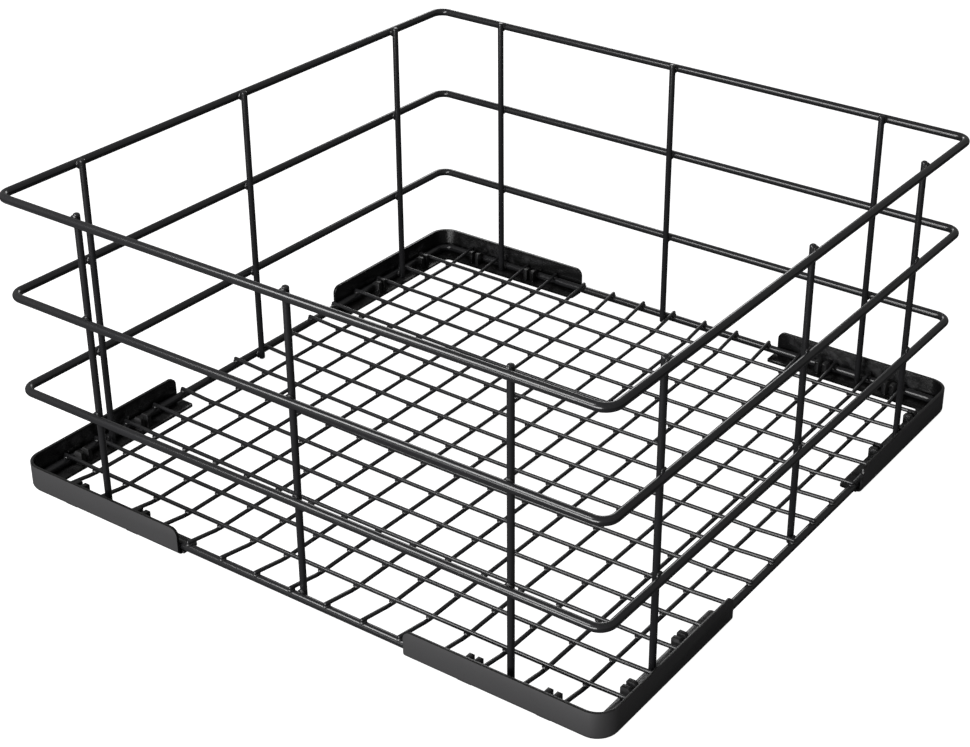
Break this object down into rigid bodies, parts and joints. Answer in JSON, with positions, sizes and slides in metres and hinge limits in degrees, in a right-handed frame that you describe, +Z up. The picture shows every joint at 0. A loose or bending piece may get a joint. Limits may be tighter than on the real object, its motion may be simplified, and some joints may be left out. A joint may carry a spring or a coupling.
{
  "type": "open wire cargo basket",
  "caption": "Open-topped welded wire basket: round hoops on straight posts, a square wire-mesh floor and moulded corner brackets clipped under the base hoop.",
  "frame": {"origin": "middle of the footprint, at the underside of the corner brackets", "axes": "+Z up, +X along the longer side of the basket, -Y to the front"},
  "size_m": [0.41, 0.405, 0.19],
  "materials": {
    "wire_coating": "satin black powder coat",
    "bracket_plastic": "fine-grained black moulding"
  },
  "bodies": {
    "root": {"base_ring": "wire_coating", "corner_bracket_back_left": "bracket_plastic", "corner_bracket_back_right": "bracket_plastic", "corner_bracket_front_left": "bracket_plastic", "corner_bracket_front_right": "bracket_plastic", "lower_ring": "wire_coating", "mesh_cross_wire_01": "wire_coating", "mesh_cross_wire_02": "wire_coating", "mesh_cross_wire_03": "wire_coating", "mesh_cross_wire_04": "wire_coating", "mesh_cross_wire_05": "wire_coating", "mesh_cross_wire_06": "wire_coating", "mesh_cross_wire_07": "wire_coating", "mesh_cross_wire_08": "wire_coating", "mesh_cross_wire_09": "wire_coating", "mesh_cross_wire_10": "wire_coating", "mesh_cross_wire_11": "wire_coating", "mesh_cross_wire_12": "wire_coating", "mesh_cross_wire_13": "wire_coating", "mesh_cross_wire_14": "wire_coating", "mesh_cross_wire_15": "wire_coating", "mesh_long_wire_01": "wire_coating", "mesh_long_wire_02": "wire_coating", "mesh_long_wire_03": "wire_coating", "mesh_long_wire_04": "wire_coating", "mesh_long_wire_05": "wire_coating", "mesh_long_wire_06": "wire_coating", "mesh_long_wire_07": "wire_coating", "mesh_long_wire_08": "wire_coating", "mesh_long_wire_09": "wire_coating", "mesh_long_wire_10": "wire_coating", "mesh_long_wire_11": "wire_coating", "mesh_long_wire_12": "wire_coating", "mesh_long_wire_13": "wire_coating", "mesh_long_wire_14": "wire_coating", "mesh_long_wire_15": "wire_coating", "middle_ring": "wire_coating", "rim_ring": "wire_coating", "upright_back_a": "wire_coating", "upright_back_b": "wire_coating", "upright_back_c": "wire_coating", "upright_front_a": "wire_coating", "upright_front_b": "wire_coating", "upright_front_c": "wire_coating", "upright_left_a": "wire_coating", "upright_left_b": "wire_coating", "upright_left_c": "wire_coating", "upright_right_a": "wire_coating", "upright_right_b": "wire_coating", "upright_right_c": "wire_coating"}
  },
  "joints": []
}
